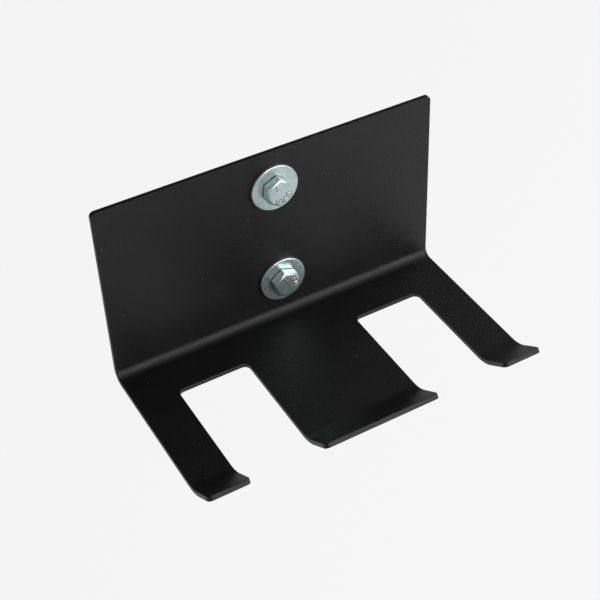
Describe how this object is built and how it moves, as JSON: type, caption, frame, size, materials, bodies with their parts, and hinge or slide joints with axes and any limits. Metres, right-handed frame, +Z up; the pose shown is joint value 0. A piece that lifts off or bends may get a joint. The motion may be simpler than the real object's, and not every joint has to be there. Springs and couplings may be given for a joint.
{
  "type": "wall tool-holder bracket",
  "caption": "Folded sheet-steel wall bracket: upright plate and shelf with open-front notches between upturned fingers, held by hex bolts with large washers and nuts.",
  "frame": {"origin": "middle of the two bolt slots' pattern, on the plate's rear face, which lies in the plane Y = 0", "axes": "+X along the bracket's width, to the right seen from the front; +Y into the wall; +Z up"},
  "size_m": [0.18, 0.1239, 0.1025],
  "materials": {
    "powder_coat": "satin black powder coat with a very fine texture",
    "zinc_plate": "bright zinc plating with a slight blue-green tint"
  },
  "bodies": {
    "bracket": {"bracket": "powder_coat"},
    "upper_front_washer": {"upper_front_washer": "zinc_plate"},
    "upper_bolt": {"upper_bolt": "zinc_plate"},
    "upper_rear_washer": {"upper_rear_washer": "zinc_plate"},
    "upper_nut": {"upper_nut": "zinc_plate"},
    "lower_front_washer": {"lower_front_washer": "zinc_plate"},
    "lower_bolt": {"lower_bolt": "zinc_plate"},
    "lower_rear_washer": {"lower_rear_washer": "zinc_plate"},
    "lower_nut": {"lower_nut": "zinc_plate"}
  },
  "joints": [
    {"name": "upper_bolt_back_off", "type": "slide", "parent": "bracket", "child": "upper_front_washer", "axis": [0, -1, 0], "range_m": [0, 0.01]},
    {"name": "upper_bolt_turn", "type": "hinge", "parent": "upper_front_washer", "child": "upper_bolt", "pos_m": [0.0009, -0.0046, 0.0288], "axis": [0, -1, 0], "range_deg": [0, 2880]},
    {"name": "upper_nut_back_off", "type": "slide", "parent": "bracket", "child": "upper_rear_washer", "axis": [0, 1, 0], "range_m": [0, 0.00625]},
    {"name": "upper_nut_turn", "type": "hinge", "parent": "upper_rear_washer", "child": "upper_nut", "pos_m": [0.0009, 0.0022, 0.0288], "axis": [0, 1, 0], "range_deg": [0, 1800]},
    {"name": "lower_bolt_back_off", "type": "slide", "parent": "bracket", "child": "lower_front_washer", "axis": [0, -1, 0], "range_m": [0, 0.01]},
    {"name": "lower_bolt_turn", "type": "hinge", "parent": "lower_front_washer", "child": "lower_bolt", "pos_m": [0.0026, -0.0046, -0.0288], "axis": [0, -1, 0], "range_deg": [0, 2880]},
    {"name": "lower_nut_back_off", "type": "slide", "parent": "bracket", "child": "lower_rear_washer", "axis": [0, 1, 0], "range_m": [0, 0.00625]},
    {"name": "lower_nut_turn", "type": "hinge", "parent": "lower_rear_washer", "child": "lower_nut", "pos_m": [0.0026, 0.0022, -0.0288], "axis": [0, 1, 0], "range_deg": [0, 1800]}
  ],
  "couplings": [
    {"joint": "upper_bolt_turn", "follows": "upper_bolt_back_off", "rad_per_m": 5026.5},
    {"joint": "upper_nut_turn", "follows": "upper_nut_back_off", "rad_per_m": 5026.5},
    {"joint": "lower_bolt_turn", "follows": "lower_bolt_back_off", "rad_per_m": 5026.5},
    {"joint": "lower_nut_turn", "follows": "lower_nut_back_off", "rad_per_m": 5026.5}
  ]
}
